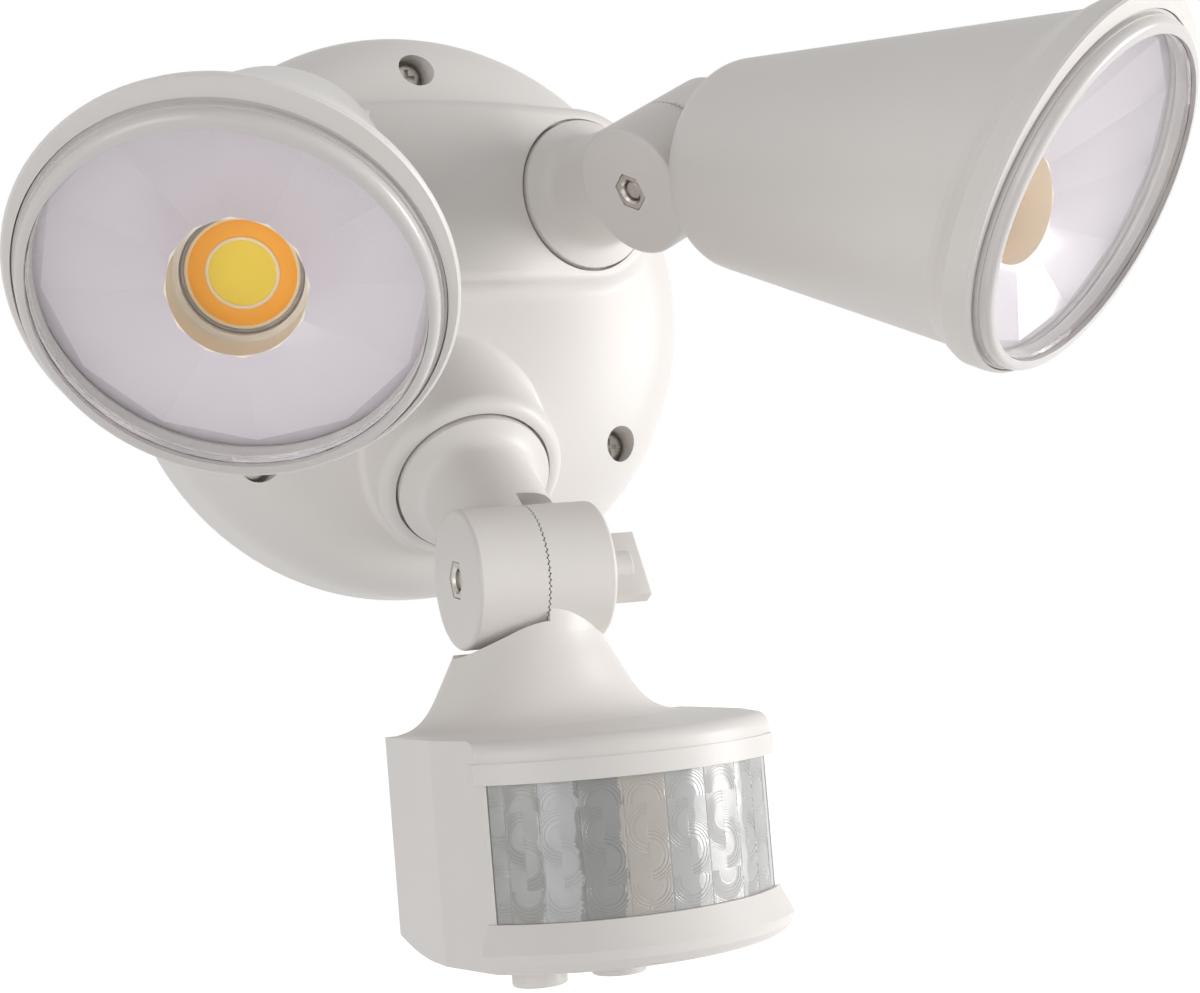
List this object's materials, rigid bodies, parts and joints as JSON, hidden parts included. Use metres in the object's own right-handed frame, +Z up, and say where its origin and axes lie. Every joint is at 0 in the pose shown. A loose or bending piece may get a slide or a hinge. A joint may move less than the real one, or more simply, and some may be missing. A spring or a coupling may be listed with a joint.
{
  "type": "motion sensor security light",
  "caption": "Wall light with splayed adjustable lamp heads and a tilting motion sensor on a domed round base.",
  "frame": {"origin": "centre of the round base on the wall plane", "axes": "+Z up, +X to the right seen from the front, -Y out of the wall towards the viewer"},
  "size_m": [0.2401, 0.2115, 0.2183],
  "materials": {
    "housing": "warm white satin moulding",
    "inner_plastic": "off-white moulding",
    "steel": "bright stainless steel",
    "rubber": "soft light grey",
    "foam": "grey closed-cell foam",
    "terminal": "moulded terminal block",
    "circuit_board": "circuit board laminate",
    "components": "electronic components",
    "heat_sink": "cast aluminium",
    "led_board": "white metal-core board",
    "led_emitter": "yellow phosphor",
    "led_holder": "cream moulding",
    "reflector": "glossy lilac white",
    "clear_lens": "clear polished lens",
    "fresnel": "translucent grey-green film with ring ridges"
  },
  "bodies": {
    "base": {"wall_gasket": "foam", "back_plate": "inner_plastic", "cable_grommet": "rubber", "cover_seal": "rubber", "base_cover": "housing", "cover_screws": "steel", "terminal_block": "terminal", "driver_board": "circuit_board", "driver_parts": "components"},
    "right_arm": {"right_arm": "housing", "right_swivel_seal": "rubber", "right_swivel_nut": "inner_plastic", "right_pivot_nut": "steel"},
    "right_clamp": {"right_clamp_screw": "housing"},
    "left_arm": {"left_arm": "housing", "left_swivel_seal": "rubber", "left_swivel_nut": "inner_plastic", "left_pivot_nut": "steel"},
    "left_clamp": {"left_clamp_screw": "housing"},
    "sensor_arm": {"sensor_arm": "housing", "sensor_swivel_seal": "rubber", "sensor_swivel_nut": "inner_plastic", "sensor_pivot_nut": "steel"},
    "sensor_clamp": {"sensor_clamp_screw": "housing"},
    "right_head": {"right_housing": "housing", "right_heat_sink": "heat_sink", "right_led_board": "led_board", "right_led_emitter": "led_emitter", "right_led_holder": "led_holder", "right_reflector": "reflector", "right_lens_gasket": "rubber", "right_lens": "clear_lens"},
    "left_head": {"left_housing": "housing", "left_heat_sink": "heat_sink", "left_led_board": "led_board", "left_led_emitter": "led_emitter", "left_led_holder": "led_holder", "left_reflector": "reflector", "left_lens_gasket": "rubber", "left_lens": "clear_lens"},
    "sensor_head": {"sensor_bracket": "housing", "sensor_lid": "housing", "sensor_front": "housing", "fresnel_lens": "fresnel", "sensor_board": "circuit_board", "pir_element": "steel"},
    "lux_knob": {"lux_knob": "housing"},
    "time_knob": {"time_knob": "housing"}
  },
  "joints": [
    {"name": "right_swivel", "type": "hinge", "parent": "base", "child": "right_arm", "pos_m": [0.038, -0.046, 0.0252], "axis": [0.247, -0.969, 0], "range_deg": [-116.5, 63.5]},
    {"name": "right_tilt", "type": "hinge", "parent": "right_arm", "child": "right_head", "pos_m": [0.04677, -0.0804, 0.0252], "axis": [0.8672, 0.221, 0.4462], "range_deg": [-92.2, 57.8]},
    {"name": "right_clamp_turn", "type": "hinge", "parent": "right_arm", "child": "right_clamp", "pos_m": [0.04677, -0.0804, 0.0252], "axis": [0.8672, 0.221, 0.4462], "range_deg": [-180, 180]},
    {"name": "left_swivel", "type": "hinge", "parent": "base", "child": "left_arm", "pos_m": [-0.038, -0.046, 0.0252], "axis": [-0.247, -0.969, 0], "range_deg": [-74.4, 105.6]},
    {"name": "left_tilt", "type": "hinge", "parent": "left_arm", "child": "left_head", "pos_m": [-0.04677, -0.0804, 0.0252], "axis": [-0.9333, 0.2379, 0.2689], "range_deg": [-50.3, 99.7]},
    {"name": "left_clamp_turn", "type": "hinge", "parent": "left_arm", "child": "left_clamp", "pos_m": [-0.04677, -0.0804, 0.0252], "axis": [0.9333, -0.2379, -0.2689], "range_deg": [-180, 180]},
    {"name": "sensor_swivel", "type": "hinge", "parent": "base", "child": "sensor_arm", "pos_m": [0, -0.0544, -0.0441], "axis": [0, -0.7815, -0.6239], "range_deg": [-90, 90]},
    {"name": "sensor_tilt", "type": "hinge", "parent": "sensor_arm", "child": "sensor_head", "pos_m": [0, -0.08324, -0.06712], "axis": [1, 0, 0], "range_deg": [-45, 40]},
    {"name": "sensor_clamp_turn", "type": "hinge", "parent": "sensor_arm", "child": "sensor_clamp", "pos_m": [0, -0.08324, -0.06712], "axis": [1, 0, 0], "range_deg": [-180, 180]},
    {"name": "lux_knob_turn", "type": "hinge", "parent": "sensor_head", "child": "lux_knob", "pos_m": [-0.0205, -0.12804, -0.14462], "axis": [0, 0, -1], "range_deg": [-135, 135]},
    {"name": "time_knob_turn", "type": "hinge", "parent": "sensor_head", "child": "time_knob", "pos_m": [-0.0035, -0.12804, -0.14462], "axis": [0, 0, -1], "range_deg": [-135, 135]}
  ]
}
